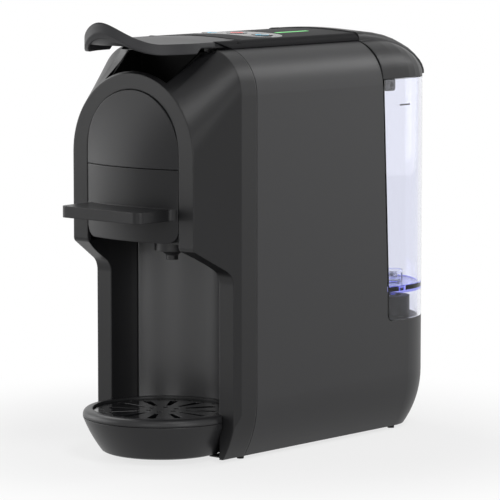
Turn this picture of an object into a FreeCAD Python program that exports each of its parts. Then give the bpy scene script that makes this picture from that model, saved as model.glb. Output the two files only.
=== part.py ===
# Capsule coffee machine: a compact single-serve machine with a top lever, a capsule
# drawer in an arched front, a cup bay over a round drip tray, and a clear tank behind.
# Frame: X to the machine's side, Y from front (negative) to back, Z up from the table.
# The origin lies on the table under the middle of the machine.
import FreeCAD, Part
import math
import os
import Sketcher

Vector = FreeCAD.Vector

# Driving dimensions in millimetres and degrees. Names that end in _at are distances
# behind the arched face, and names that end in _height or _level are heights over the table.
SIZES = {
    # Whole body
    "body_width": 118, "body_depth": 262, "lever_reach": 28, "foot_height": 2.4,
    "wall": 2.5, "seam_gap": 0.4, "slide_gap": 0.35, "cut_over": 2,
    "corner_radius": 38, "front_depth": 47.5, "flare_depth": 34,
    "tuck_height": 38, "tuck_inset": 11,
    "crown_height": 259.3, "crown_drop": 1.6, "crown_inset": 6, "step_inset": 20,
    "shoulder_drop": 6.8, "shoulder_sink": 33.7, "bed_drop": 8.9,
    # Arched front
    "arch_radius": 50, "arch_centre": 188.6, "arch_split": 50, "face_wall": 3,
    "opening_half": 38, "opening_centre": 191, "crest_inset": 0.4, "bed_inset": 0.4,
    "ring_bottom": 133.4, "ring_round": 12, "leg_front_at": 28.3, "leg_top_height": 116.9,
    "knee_round": 10,
    "panel_bulge": 6.6, "panel_top_bulge": 0.3, "panel_split": 181.6,
    # Finger well under the lever
    "scoop_front_at": 3, "scoop_front_half": 25.5, "scoop_half": 30, "scoop_bend_at": 28,
    "well_back_at": 40.5, "well_drop": 32.8, "well_wall": 1.6,
    # Cup bay
    "cup_axis_at": 26.5, "recess_radius": 45.4, "ceiling_level": 133.4, "ceiling_plate": 1.9,
    "ceiling_front_at": 20, "liner_wall": 2,
    # Lever and its crank
    "lever_inset": 1.5, "lever_drop": 1.9, "lever_rim": 6.4, "lever_skin": 2.2,
    "lever_wall": 2.4, "lever_bow": 1.8, "curl_start_at": -6, "curl_radius": 25,
    "nose_radius": 30, "flank_radius": 50, "rim_back_at": 17.5, "rim_rise": 3.3,
    "wide_back_at": 33.2, "hinge_inset": 4, "hinge_bow": 1.6, "hinge_thick": 3.8,
    "pivot_at": 54.4, "pivot_drop": 5.3, "barrel_radius": 4.2, "hinge_tail": 3.2,
    "hinge_sweep": 6, "shaft_radius": 2.4, "shaft_inset": 1, "fit_gap": 0.05,
    "boss_drop": 5.6, "boss_half": 6, "arm_front_at": 33.6,
    "lug_in": 20, "lug_out": 23.4, "crank": 9.5, "crank_angle": 40, "crank_pin": 1.6,
    "crank_boss": 3.8, "link_out": 27, "link_width": 7.6, "slot_reach": 1.5, "slot_rise": 0.5,
    "slot_shift": 1.1,
    # Brew group
    "brew_at": 35.6, "frame_half": 41, "frame_wall": 3, "frame_front_at": 6,
    "frame_back_at": 67, "frame_floor": 135.7, "frame_floor_top": 138.7,
    "bridge_level": 193, "bridge_top": 199,
    "piston_radius": 20, "piston_bottom": 175.4, "piston_top": 206, "piston_seat": 3,
    "seal_radius": 14, "seal_height": 1.2,
    "yoke_half": 31.5, "yoke_top": 211, "yoke_neck": 16, "yoke_front_at": 22, "yoke_ear": 4,
    "yoke_pin_height": 216,
    # Capsule drawer and adapter
    "drawer_bottom": 136.9, "drawer_half": 37.5, "drawer_front_wall": 2.8,
    "drawer_corner": 8, "drawer_frame_half": 37.4, "drawer_back_at": 64,
    "drawer_deck": 166, "drawer_deck_top": 171, "drawer_skirt": 139.1, "drawer_skirt_wall": 2.6,
    "pull_half": 33, "pull_reach": 30, "pull_low": 151, "pull_top": 158, "pull_corner": 5,
    "adapter_radius": 24.5, "adapter_foot": 21, "adapter_bottom": 143.4, "adapter_lip": 26.8,
    "adapter_top": 175, "adapter_cup": 21.5, "adapter_cup_low": 16.5, "adapter_floor": 147,
    "adapter_hole": 2.6,
    "pin_plate_radius": 14, "pin_plate": 1.4, "pin_spread": 7, "pin_radius": 1.2, "pin_height": 5,
    "spout_radius": 3.7, "spout_bore": 2.2, "spout_bottom": 121.8, "spout_throat": 124.6,
    "spout_cone": 7.6, "spout_plate_low": 127.6, "spout_plate": 11, "spout_neck": 8.6,
    "spout_wall": 2.2,
    # Drip tray
    "tray_radius": 49.5, "tray_back_radius": 44.9, "tray_split_at": 27.6, "tray_bottom": 3.4,
    "tray_step_at": 23, "tray_step_radius": 48.2, "tray_foot": 34.5, "tray_heel": 38,
    "tray_heel_rise": 1.2, "tray_flank": 44.6, "tray_flank_rise": 11.4, "tray_seam": 25.4,
    "tray_seam_depth": 1.6, "tray_top": 30.2, "tray_pan": 40.5, "tray_pan_floor": 8,
    "tray_pan_foot": 36, "tray_pan_rise": 10,
    "grille_seat": 43.3, "grille_radius": 42.9, "grille_low": 26, "grille_top": 28.8,
    "ring_round": 3.5,
    "slot_in": 15, "slot_out": 33, "slot_wide": 5.4, "slot_narrow": 2.4, "slot_count": 12,
    "hole_ring": 9, "hole_radius": 1.9, "hole_count": 6, "rim_hole_ring": 38, "rim_hole_count": 24,
    "rim_hole_radius": 1.5,
    # Tank bay, tank and lid, with places given as distances in front of the rear
    "bay_front_top_in": 65, "bay_front_low_in": 59.2, "bay_level": 73.3, "bay_slant_low": 87,
    "bay_corner": 5, "bay_wall_in": 69.4, "bay_plate": 2.6, "bay_wall_drop": 11.3,
    "tank_front": 0.8, "tank_wall": 2.2, "tank_drop": 30.9, "tank_floor": 92,
    "tank_floor_top": 95,
    "lid_gap": 0.4, "lid_rise": 0.7, "lid_wall": 2.4, "lid_bend_in": 49,
    "lid_bend_radius": 64.8,
    "valve_inset": 20, "valve_in": 30, "dock_radius": 11, "dock_top": 86.5, "dock_bore": 5,
    "spigot_radius": 5.4, "valve_radius": 3.2, "spigot_drop": 8, "cage_wall": 1,
    "spring_height": 4, "spring_wire": 1, "valve_head": 4.6, "valve_top": 98.2,
    "valve_stem": 1.8,
    "catch_inset": 3.1, "catch_width": 5.9, "catch_front_in": 59.4, "catch_depth": 9.6,
    "catch_drop": 7.4, "catch_eye": 3.6, "catch_hole": 1.7,
    # Control panel
    "panel_thick": 2.6, "panel_depth": 5, "step_rise": 0.8, "step_bulge": 1.4, "step_sink": 2.9,
    "insert_front_at": 80.5, "insert_back_at": 111.5, "insert_inset": 6.5, "insert_round": 15,
    "insert_sink": 3.1, "button_radius": 6.5, "button_pitch": 21, "button_at": 96,
    "button_rise": 0.2, "button_head": 3.4, "button_stem": 2.2, "button_length": 6,
    "switch_gap": 1.2, "switch_height": 2.2, "board_thick": 1.6, "board_post": 5,
    "board_half": 30, "board_front_at": 78, "board_room": 12.5,
    # Base and feet
    "base_plate": 3, "base_inset": 14.4, "base_front_at": 74, "prong_front_at": 33,
    "prong_in": 33,
    "foot_radius": 2.2, "foot_inset": 16.5, "foot_front_at": 51, "foot_back_in": 35,
    # Pump, heater and plumbing
    "pump_at": 126, "pump_height": 46, "pump_coil": 40, "pump_radius": 9,
    "pump_neck": 22, "pump_tail": 14, "mount_size": 30, "mount_thick": 6,
    "heater_low": 128, "heater_top": 182, "heater_gap": 9,
    "heater_fin": 3, "chassis_gap": 0.6, "chassis_depth": 16, "chassis_flange": 12,
    "heater_post": 5,
    "meter_x": 33, "meter_at": 150, "meter_radius": 11, "meter_low": 36, "meter_top": 50,
    "pipe_radius": 3, "hose_bend": 8, "line_bend": 5, "line_at": 78.5,
    "line_top": 200, "brew_line_level": 208.5, "gland_radius": 6, "gland_bore": 3.6,
    "gland_x": -30, "thermostat_radius": 7, "thermostat_height": 5,
    "screw_radius": 3.2, "screw_head": 2, "screw_stem": 1.5,
}


class Size:
    """A number together with the sheet expression that it comes from."""

    def __init__(self, number, text):
        self.number = number
        self.text = text

    def join(self, other, sign, number, flip=False):
        texts = [self.text, written(other)]
        if flip:
            texts.reverse()
        return Size(number, "(" + sign.join(texts) + ")")

    def __add__(self, other):
        return self.join(other, " + ", self.number + value(other))

    __radd__ = __add__

    def __sub__(self, other):
        return self.join(other, " - ", self.number - value(other))

    def __rsub__(self, other):
        return self.join(other, " - ", value(other) - self.number, True)

    def __mul__(self, other):
        return self.join(other, " * ", self.number * value(other))

    __rmul__ = __mul__

    def __truediv__(self, other):
        return self.join(other, " / ", self.number / value(other))

    def __rtruediv__(self, other):
        return self.join(other, " / ", value(other) / self.number, True)

    def __neg__(self):
        return Size(-self.number, "(0 - " + self.text + ")")


def value(size):
    return size.number if isinstance(size, Size) else float(size)


def written(size):
    return size.text if isinstance(size, Size) else "(" + repr(float(size)) + ")"


def root(size):
    return Size(math.sqrt(size.number), "sqrt(" + size.text + ")")


class Sheet:
    """The spreadsheet of driving dimensions, read by name as Size values."""

    def __init__(self, document, sizes):
        self.cells = document.addObject("Spreadsheet::Sheet", "Dims")
        for row, (name, number) in enumerate(sizes.items(), 1):
            self.cells.set("A%d" % row, name)
            self.cells.set("B%d" % row, str(number))
            self.cells.setAlias("B%d" % row, name)
        document.recompute()

    def __getattr__(self, name):
        return Size(float(self.cells.get(name)), "Dims." + name)


# Share of a quarter circle's radius between its corner and its middle, on each axis.
CORNER_SHARE = 1 - math.sqrt(0.5)
# Share of an arc's height at which its middle point is set.
SHOULDER_SHARE = 0.6
CURL_SHARE = 0.55

doc = FreeCAD.newDocument("CapsuleCoffeeMachine")
dim = Sheet(doc, SIZES)
PIECES = []

# Places that most pieces share.
half = dim.body_width / 2
back = dim.body_depth / 2
face = dim.lever_reach - back
bay_top_y = back - dim.bay_front_top_in
bay_low_y = back - dim.bay_front_low_in
bay_wall_y = back - dim.bay_wall_in
base_half = half - dim.base_inset
step_half = half - dim.step_inset
crown_half = step_half - dim.crown_inset
lever_half = step_half - dim.lever_inset
hinge_half = step_half - dim.hinge_inset
shaft_half = step_half - dim.shaft_inset
bed_half = step_half - dim.bed_inset
tank_valve_place = (half - dim.valve_inset, back - dim.valve_in)

# Heights that follow the crown.
crown_edge = dim.crown_height - dim.crown_drop
shoulder_top = dim.crown_height - dim.shoulder_drop
shoulder_height = dim.crown_height - dim.shoulder_sink
bed_level = dim.crown_height - dim.bed_drop
well_floor = dim.crown_height - dim.well_drop
lever_top = dim.crown_height - dim.lever_drop
pivot_height = dim.crown_height - dim.pivot_drop
tank_top = dim.crown_height - dim.tank_drop
lid_low = tank_top + dim.lid_gap
button_low = dim.crown_height - dim.crown_drop - dim.button_head - dim.button_length


def at(distance):
    """Y of a place that lies this far behind the arched face."""
    return face + distance


def bind(target, path, size):
    if isinstance(size, Size):
        target.setExpression(path, size.text)


# Sketches: an outline is a list of corners (a, b), rounded corners (a, b, radius) and
# ("via", a, b) entries that make the run between their neighbours an arc through (a, b).
def fixed(sketch, index, place, a, b):
    for kind, size in (("DistanceX", a), ("DistanceY", b)):
        number = sketch.addConstraint(Sketcher.Constraint(kind, index, place, value(size)))
        bind(sketch, "Constraints[%d]" % number, size)


def flat(point):
    return Vector(value(point[0]), value(point[1]), 0)


def add_arc(sketch, centre, radius, first, last, left_turn):
    """Arc drawn anticlockwise; returns its index and its end numbers at first and last."""
    start, end = (first, last) if left_turn else (last, first)
    low = math.atan2(start.y - centre.y, start.x - centre.x)
    high = math.atan2(end.y - centre.y, end.x - centre.x)
    if high <= low:
        high += 2 * math.pi
    circle = Part.Circle(centre, Vector(0, 0, 1), radius)
    index = sketch.addGeometry(Part.ArcOfCircle(circle, low, high), False)
    return (index, 1, 2) if left_turn else (index, 2, 1)


def circle_through(first, middle, last):
    arc = Part.Arc(first, middle, last).toShape().Curve
    return arc.Center, arc.Radius


def add_outline(sketch, entries):
    corners = [entry for entry in entries if entry[0] != "via"]
    count = len(corners)
    bows = {}
    seen = -1
    for entry in entries:
        if entry[0] == "via":
            bows[seen] = entry[1:]
        else:
            seen += 1
    points = [flat(corner) for corner in corners]
    leave, reach, rounds = list(points), list(points), {}
    for i, corner in enumerate(corners):
        if len(corner) < 3:
            continue
        before = (points[i - 1] - points[i]).normalize()
        after = (points[(i + 1) % count] - points[i]).normalize()
        spread = before.getAngle(after)
        radius = value(corner[2])
        run = radius / math.tan(spread / 2)
        reach[i] = points[i] + before * run
        leave[i] = points[i] + after * run
        inward = (before + after).normalize()
        rounds[i] = (points[i] + inward * (radius / math.sin(spread / 2)), radius,
                     before.cross(after).z < 0)
    runs = []
    for i in range(count):
        first, last = leave[i], reach[(i + 1) % count]
        if i in bows:
            middle = flat(bows[i])
            centre, radius = circle_through(first, middle, last)
            turn = (middle - first).cross(last - middle).z > 0
            arc = add_arc(sketch, centre, radius, first, last, turn)
            mark = sketch.addGeometry(Part.Point(middle), True)
            sketch.addConstraint(Sketcher.Constraint("PointOnObject", mark, 1, arc[0]))
            fixed(sketch, mark, 1, *bows[i])
            runs.append(arc)
        else:
            index = sketch.addGeometry(Part.LineSegment(first, last), False)
            runs.append((index, 1, 2))
    for i, corner in enumerate(corners):
        entering, leaving = runs[i - 1], runs[i]
        if i not in rounds:
            sketch.addConstraint(Sketcher.Constraint(
                "Coincident", entering[0], entering[2], leaving[0], leaving[1]))
            fixed(sketch, leaving[0], leaving[1], corner[0], corner[1])
            continue
        centre, radius, left_turn = rounds[i]
        arc = add_arc(sketch, centre, radius, reach[i], leave[i], left_turn)
        sketch.addConstraint(Sketcher.Constraint("Tangent", entering[0], entering[2], arc[0], arc[1]))
        sketch.addConstraint(Sketcher.Constraint("Tangent", arc[0], arc[2], leaving[0], leaving[1]))
        number = sketch.addConstraint(Sketcher.Constraint("Radius", arc[0], radius))
        bind(sketch, "Constraints[%d]" % number, corner[2])
        mark = sketch.addGeometry(Part.Point(points[i]), True)
        sketch.addConstraint(Sketcher.Constraint("PointOnObject", mark, 1, entering[0]))
        sketch.addConstraint(Sketcher.Constraint("PointOnObject", mark, 1, leaving[0]))
        fixed(sketch, mark, 1, corner[0], corner[1])


def add_circle(sketch, a, b, radius):
    index = sketch.addGeometry(Part.Circle(flat((a, b)), Vector(0, 0, 1), value(radius)), False)
    number = sketch.addConstraint(Sketcher.Constraint("Radius", index, value(radius)))
    bind(sketch, "Constraints[%d]" % number, radius)
    fixed(sketch, index, 3, a, b)


def sketch_on(body, plane, place, loops, shift=0):
    """Sketch on the body's own XY, XZ or YZ plane, moved to a place along its world axis."""
    name = "%s_sketch_%d" % (body.Label, len(body.Group))
    sketch = body.newObject("Sketcher::SketchObject", name)
    support = next(f for f in body.Origin.OriginFeatures if f.Role == plane + "_Plane")
    sketch.AttachmentSupport = [(support, "")]
    sketch.MapMode = "FlatFace"
    offset = -place if plane == "XZ" else place
    sketch.AttachmentOffset = FreeCAD.Placement(
        Vector(value(shift), 0, value(offset)), FreeCAD.Rotation())
    bind(sketch, ".AttachmentOffset.Base.z", offset)
    bind(sketch, ".AttachmentOffset.Base.x", shift)
    for loop in loops:
        if loop[0] == "circle":
            add_circle(sketch, *loop[1:])
        else:
            add_outline(sketch, loop)
    return sketch


def new_body(label, keep=True):
    body = doc.addObject("PartDesign::Body", label)
    body.Label = label
    if keep:
        PIECES.append(body)
    return body


def pad(body, plane, low, high, *loops):
    """Solid between two places along the plane's world axis."""
    feature_sketch = sketch_on(body, plane, high if plane == "XZ" else low, loops)
    feature = body.newObject("PartDesign::Pad", body.Label + "_pad")
    feature.Profile = feature_sketch
    feature.Length = value(high) - value(low)
    bind(feature, "Length", high - low)
    doc.recompute()
    return feature


def cut(body, plane, low, high, *loops):
    """Pocket between two places along the plane's world axis."""
    volume = body.Shape.Volume
    feature_sketch = sketch_on(body, plane, low if plane == "XZ" else high, loops)
    feature = body.newObject("PartDesign::Pocket", body.Label + "_pocket")
    feature.Profile = feature_sketch
    feature.Length = value(high) - value(low)
    bind(feature, "Length", high - low)
    doc.recompute()
    if body.Shape.Volume >= volume:
        raise ValueError(feature.Name + " cuts nothing")
    return feature


def turned(body, kind, x, y, loops, angle=360):
    """Revolution or Groove about the vertical axis through (x, y); a is the radius."""
    feature_sketch = sketch_on(body, "XZ", y, loops, x)
    feature = body.newObject("PartDesign::" + kind, body.Label + "_" + kind.lower())
    feature.Profile = feature_sketch
    feature.ReferenceAxis = (feature_sketch, ["V_Axis"])
    feature.Angle = angle
    doc.recompute()
    return feature


def loft(body, kind, plane, sections):
    """Ruled loft through outlines at several places of one plane."""
    sketches = [sketch_on(body, plane, place, [loop]) for place, loop in sections]
    feature = body.newObject("PartDesign::" + kind + "Loft", body.Label + "_loft")
    feature.Profile = sketches[0]
    feature.Sections = sketches[1:]
    feature.Ruled = True
    doc.recompute()
    return feature


def ring_of(body, feature, count):
    """Repeat a feature round the vertical axis of its own sketch plane."""
    pattern = body.newObject("PartDesign::PolarPattern", body.Label + "_pattern")
    pattern.Originals = [feature]
    pattern.Axis = (feature.Profile[0], ["N_Axis"])
    pattern.Angle = 360
    pattern.Occurrences = int(value(count))
    bind(pattern, "Occurrences", count)
    body.Tip = pattern
    doc.recompute()
    return pattern


def box(x0, x1, y0, y1):
    return [(x0, y0), (x1, y0), (x1, y1), (x0, y1)]


def rounded_box(x0, x1, y0, y1, radius):
    return [(x0, y0, radius), (x1, y0, radius), (x1, y1, radius), (x0, y1, radius)]


def boolean(kind, label, first, second, keep=True):
    result = doc.addObject("Part::" + kind, label)
    result.Base = first
    result.Tool = second
    result.Label = label
    doc.recompute()
    if keep:
        PIECES.append(result)
    return result


# The body's cross section: straight sides, tucked in at the bottom, rounded at the shoulder.
tuck_drop = dim.tuck_height - dim.foot_height
tuck_radius = (tuck_drop * tuck_drop + dim.tuck_inset * dim.tuck_inset) / (2 * dim.tuck_inset)
shoulder_rise = shoulder_top - shoulder_height
shoulder_run = half - step_half
shoulder_radius = (shoulder_rise * shoulder_rise + shoulder_run * shoulder_run) / (2 * shoulder_run)


def tuck_x(height, inset):
    drop = dim.tuck_height - height
    radius = tuck_radius - inset
    return half - tuck_radius + root(radius * radius - drop * drop)


def shoulder_x(height, inset):
    rise = height - shoulder_height
    radius = shoulder_radius - inset
    return half - shoulder_radius + root(radius * radius - rise * rise)


def side_profile(side, top, inset, shoulder):
    """Corners up one side wall's face, from the bottom edge to the top, without closing."""
    middle = (dim.tuck_height + dim.foot_height) / 2
    line = [(side * tuck_x(dim.foot_height, inset), dim.foot_height),
            ("via", side * tuck_x(middle, inset), middle),
            (side * (half - inset), dim.tuck_height)]
    if not shoulder:
        return line + [(side * (half - inset), top)]
    share = (shoulder_radius - inset) / shoulder_radius
    end_x = half - shoulder_radius + (step_half - half + shoulder_radius) * share
    end_height = shoulder_height + shoulder_rise * share
    bend = shoulder_height + shoulder_rise * share * SHOULDER_SHARE
    return line + [(side * (half - inset), shoulder_height),
                   ("via", side * shoulder_x(bend, inset), bend),
                   (side * end_x, end_height)]


def wall_section(side, top, shoulder):
    outer = side_profile(side, top, 0, shoulder)
    inner = side_profile(side, top, dim.wall, shoulder)
    return outer + inner[::-1]


def bay_outline():
    """Side view of the tank bay: a front edge slanted through two points and a level floor."""
    over = dim.cut_over
    top, low = dim.crown_height + over, dim.bay_level
    slant = (bay_low_y - bay_top_y) / (tank_top - dim.bay_slant_low)
    return [(bay_top_y - slant * (top - tank_top), top), (bay_low_y, dim.bay_slant_low),
            (bay_low_y, low, dim.bay_corner), (back + over, low), (back + over, top)]


def side_panel(name, side):
    """One side of the housing, which wraps round the low rear corner to the middle."""
    body = new_body(name)
    start = at(dim.front_depth) + dim.seam_gap
    corner_y = back - dim.corner_radius
    middle = bay_low_y + dim.bay_corner
    pad(body, "XZ", start, middle, wall_section(side, 0, True))
    low_wall = wall_section(side, dim.bay_level, False)
    pad(body, "XZ", middle - dim.wall, corner_y, low_wall)
    corner_x = half - dim.corner_radius
    section = sketch_on(body, "XZ", corner_y, [low_wall])
    path = sketch_on(body, "XY", dim.foot_height, [])
    centre = Vector(value(side * corner_x), value(corner_y), 0)
    first = Vector(value(side * half), value(corner_y), 0)
    last = Vector(value(side * corner_x), value(back), 0)
    arc = add_arc(path, centre, value(dim.corner_radius), first, last, side > 0)
    seam = Vector(value(side * dim.seam_gap / 2), last.y, 0)
    rear = path.addGeometry(Part.LineSegment(last, seam), False)
    path.addConstraint(Sketcher.Constraint("Tangent", arc[0], arc[2], rear, 1))
    fixed(path, arc[0], arc[1], side * half, corner_y)
    fixed(path, arc[0], 3, side * corner_x, corner_y)
    fixed(path, rear, 2, side * dim.seam_gap / 2, back)
    pipe = body.newObject("PartDesign::AdditivePipe", name + "_rear")
    pipe.Profile = section
    pipe.Spine = (path, [])
    doc.recompute()
    cut(body, "YZ", -half - dim.cut_over, half + dim.cut_over, bay_outline())
    return body


def base_plate():
    """Floor of the housing, with two prongs under the legs that the tray rests on."""
    body = new_body("base_plate")
    low, top = dim.foot_height, dim.foot_height + dim.base_plate
    inner_radius = dim.corner_radius - half + base_half
    rear = back - half + base_half
    plate = [(-base_half, at(dim.prong_front_at)), (-dim.prong_in, at(dim.prong_front_at)),
             (-dim.prong_in, at(dim.base_front_at)), (dim.prong_in, at(dim.base_front_at)),
             (dim.prong_in, at(dim.prong_front_at)), (base_half, at(dim.prong_front_at)),
             (base_half, rear, inner_radius), (-base_half, rear, inner_radius)]
    pad(body, "XY", low, top, plate)
    cut(body, "XY", low - 1, top + 1,
        ("circle", dim.gland_x, bay_low_y, dim.gland_radius))
    cut(body, "XY", dim.tray_bottom - dim.fit_gap, top + 1,
        ("circle", 0, at(dim.cup_axis_at), dim.tray_back_radius + dim.slide_gap))
    for side in (-1, 1):
        for place in screw_places()[side]:
            cut(body, "XY", low - 1, top + 1, ("circle", *place, dim.screw_stem + dim.fit_gap))
            cut(body, "XY", low - 1, low + dim.screw_head + dim.fit_gap,
                ("circle", *place, dim.screw_radius + dim.fit_gap))
    return body


def feet():
    front, rear = at(dim.foot_front_at), back - dim.foot_back_in
    for name, side, y in (("foot_front_left", -1, front), ("foot_front_right", 1, front),
                          ("foot_rear_left", -1, rear), ("foot_rear_right", 1, rear)):
        body = new_body(name)
        place = (side * (half - dim.foot_inset), y)
        pad(body, "XY", 0 * dim.foot_height, dim.foot_height, ("circle", *place, dim.foot_radius))


# Front: the arched face grows back into the body's section as a flare.
def arch(radius, bottom, centre):
    angle = math.radians(SIZES["arch_split"])
    middle = math.radians(SIZES["arch_split"] / 2)
    split_x, split_z = radius * math.cos(angle), centre + radius * math.sin(angle)
    via_x, via_z = radius * math.cos(middle), centre + radius * math.sin(middle)
    return [(-radius, bottom), (radius, bottom), (radius, centre), ("via", via_x, via_z),
            (split_x, split_z), ("via", 0, centre + radius), (-split_x, split_z),
            ("via", -via_x, via_z), (-radius, centre)]


def shouldered(edge, bottom, bend, top_x, top):
    """Body section with rounded shoulders and a level top."""
    rise, run = top - bend, edge - top_x
    radius = (rise * rise + run * run) / (2 * run)
    height = rise * SHOULDER_SHARE
    via_z = bend + height
    via_x = edge - radius + root(radius * radius - height * height)
    return [(-edge, bottom), (edge, bottom), (edge, bend), ("via", via_x, via_z), (top_x, top),
            (-top_x, top), ("via", -via_x, via_z), (-edge, bend)]


def front_shell():
    body = new_body("front_shell")
    low = dim.foot_height
    crest_half = half - dim.crest_inset
    crest = shouldered(crest_half, low, shoulder_height, step_half, shoulder_top)
    rear = shouldered(half, low, shoulder_height, step_half, shoulder_top)
    loft(body, "Additive", "XZ", [(face, arch(dim.arch_radius, low, dim.arch_centre)),
                                  (at(dim.flare_depth), crest), (at(dim.front_depth), rear)])
    inner_top = bed_level - dim.wall
    inner_x = step_half - dim.wall
    inner_crest = shouldered(crest_half - dim.wall, dim.ceiling_level,
                             shoulder_height, inner_x, inner_top)
    inner_rear = shouldered(half - dim.wall, dim.ceiling_level, shoulder_height,
                            inner_x, inner_top)
    inner_arch = arch(dim.arch_radius - dim.wall, dim.ceiling_level, dim.arch_centre)
    loft(body, "Subtractive", "XZ", [(face + dim.face_wall, inner_arch),
                                     (at(dim.flare_depth), inner_crest),
                                     (at(dim.front_depth), inner_rear)])
    wide = half + dim.cut_over
    edge = face - dim.fit_gap
    neck = [(face - dim.cut_over, dim.ring_bottom + dim.ring_round),
            (edge, dim.ring_bottom + dim.ring_round), (edge, dim.ring_bottom, dim.ring_round),
            (at(dim.leg_front_at), dim.leg_top_height, dim.knee_round),
            (at(dim.leg_front_at), low - dim.cut_over), (face - dim.cut_over, low - dim.cut_over)]
    cut(body, "YZ", -wide, wide, neck)
    cut(body, "XY", low - dim.cut_over, dim.ceiling_level,
        ("circle", 0, at(dim.cup_axis_at), dim.recess_radius))
    middle = (dim.tuck_height + low) / 2
    for side in (-1, 1):
        tuck = [(side * half, dim.tuck_height), ("via", side * tuck_x(middle, 0), middle),
                (side * tuck_x(low, 0), low), (side * tuck_x(low, 0), low - dim.cut_over),
                (side * wide, low - dim.cut_over), (side * wide, dim.tuck_height)]
        cut(body, "XZ", face - dim.cut_over, at(dim.front_depth) + dim.cut_over, tuck)
        groove = base_half + dim.slide_gap
        cut(body, "XY", low - dim.cut_over, low + dim.base_plate + dim.fit_gap,
            box(side * dim.opening_half, side * groove, at(dim.prong_front_at) - dim.slide_gap,
                at(dim.front_depth) + dim.cut_over))
    opening = arch(dim.opening_half, dim.ring_bottom - dim.cut_over, dim.opening_centre)
    cut(body, "XZ", face - dim.cut_over, face + dim.face_wall + dim.cut_over, opening)
    sky = dim.crown_height + dim.cut_over
    end = at(dim.front_depth) + dim.cut_over
    cut(body, "XY", bed_level, sky, box(-bed_half, bed_half, face - dim.cut_over, end))
    scoop = [(-dim.scoop_front_half, at(dim.scoop_front_at)),
             (dim.scoop_front_half, at(dim.scoop_front_at)),
             (dim.scoop_half, at(dim.scoop_bend_at)), (dim.scoop_half, end),
             (-dim.scoop_half, end), (-dim.scoop_half, at(dim.scoop_bend_at))]
    cut(body, "XY", well_floor, sky, scoop)
    return body


def bulged(edge, bulge, rear):
    """Plan of a bowed front plate: its face bulges towards the front."""
    return [(-edge, rear), (-edge, face), ("via", 0, face - bulge), (edge, face), (edge, rear)]


def arch_panel():
    """Bare bowed panel that fills the arch above the capsule drawer."""
    body = new_body("arch_panel")
    edge = dim.opening_half - dim.slide_gap
    rear = face + dim.face_wall
    top = dim.opening_centre + dim.opening_half
    low = dim.panel_split + dim.seam_gap
    loft(body, "Additive", "XY", [(low, bulged(edge, dim.panel_bulge, rear)),
                                  (top, bulged(edge, dim.panel_top_bulge, rear))])
    wide = half + dim.cut_over
    over = dim.cut_over
    cut(body, "XZ", face - dim.panel_bulge - over, rear + over,
        [(-wide, low - over), (wide, low - over), (wide, top + over), (-wide, top + over)],
        arch(edge, low - over / 2, dim.opening_centre))
    return body


def finger_well():
    """Dark liner under the lever that a finger reaches into."""
    body = new_body("finger_well")
    gap = dim.slide_gap

    def well(inset):
        front = at(dim.scoop_front_at) + gap + inset
        narrow, wide = dim.scoop_front_half - gap - inset, dim.scoop_half - gap - inset
        rear = at(dim.well_back_at) - inset
        bend = at(dim.scoop_bend_at)
        return [(-narrow, front), (narrow, front), (wide, bend), (wide, rear), (-wide, rear),
                (-wide, bend)]

    floor = well_floor
    pad(body, "XY", floor, bed_level, well(0))
    cut(body, "XY", floor + dim.well_wall, bed_level + 1, well(dim.well_wall))
    sink = [(face, floor + dim.wall), (at(dim.scoop_bend_at), bed_level),
            (at(dim.scoop_bend_at), bed_level + dim.cut_over),
            (face, bed_level + dim.cut_over)]
    cut(body, "YZ", -half, half, sink)
    return body


def crown_line(low, drop=0):
    """Cross section of the crowned strip from a level up, with rounded upper edges."""
    top = dim.crown_height - drop
    edge, inner = step_half - drop, crown_half - drop
    side = (edge, shoulder_top + dim.step_rise - drop)
    bulge = (edge - dim.step_bulge, top - dim.step_sink)
    return [(-edge, low), (edge, low), side, ("via", *bulge), (inner, top - dim.crown_drop),
            ("via", 0, top), (-inner, top - dim.crown_drop), ("via", -bulge[0], bulge[1]),
            (-side[0], side[1])]


def crown_at(x):
    """Height of the crown over a place beside the middle."""
    return dim.crown_height - dim.crown_drop * x * x / (crown_half * crown_half)


def top_panel():
    """Crowned cover between the shoulders, with arms beside the lever and its hinge bosses."""
    body = new_body("top_panel")
    low = shoulder_top + dim.seam_gap / 2
    thick = dim.panel_thick
    start, end = at(dim.front_depth) + dim.seam_gap, bay_top_y - dim.seam_gap
    arm = at(dim.arm_front_at)
    pad(body, "XZ", arm, end, crown_line(low))
    under = step_half - thick
    cut(body, "XZ", start - 1, end + 1,
        [(-under, low - 1), (under, low - 1), (under, low),
         ("via", 0, dim.crown_height - dim.panel_depth), (-under, low)])
    over = dim.cut_over
    cut(body, "YZ", -half, half, [(arm - over, low - over), (start, low - over), (start, low),
                                  (arm, crown_edge), (arm - over, crown_edge)])
    pivot = at(dim.pivot_at)
    notch = hinge_half + dim.slide_gap
    boss_low = pivot_height - dim.boss_drop
    for side in (-1, 1):
        x0, x1 = sorted((side * notch, side * shaft_half), key=value)
        pad(body, "XY", boss_low, low + thick, box(x0, x1, start, pivot + dim.boss_half))
    cut(body, "XY", boss_low - 1, dim.crown_height + 1, box(-notch, notch, arm - 1, pivot))
    cut(body, "YZ", -notch, notch,
        ("circle", pivot, pivot_height, dim.hinge_sweep + dim.seam_gap))
    bore = ("circle", pivot, pivot_height, dim.shaft_radius + dim.fit_gap)
    cut(body, "YZ", -shaft_half, shaft_half, bore)
    top = dim.crown_height + 1
    cut(body, "XY", dim.crown_height - dim.insert_sink, top, insert_plan(dim.slide_gap))
    for number in range(3):
        hole = ("circle", *button_place(number), dim.button_radius + dim.slide_gap)
        cut(body, "XY", shoulder_top - dim.panel_depth, top, hole)
    return body


def insert_plan(gap):
    edge = step_half - dim.insert_inset + gap
    return rounded_box(-edge, edge, at(dim.insert_front_at) - gap, at(dim.insert_back_at) + gap,
                       dim.insert_round)


def button_place(number):
    return ((number - 1) * dim.button_pitch, at(dim.button_at))


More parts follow.
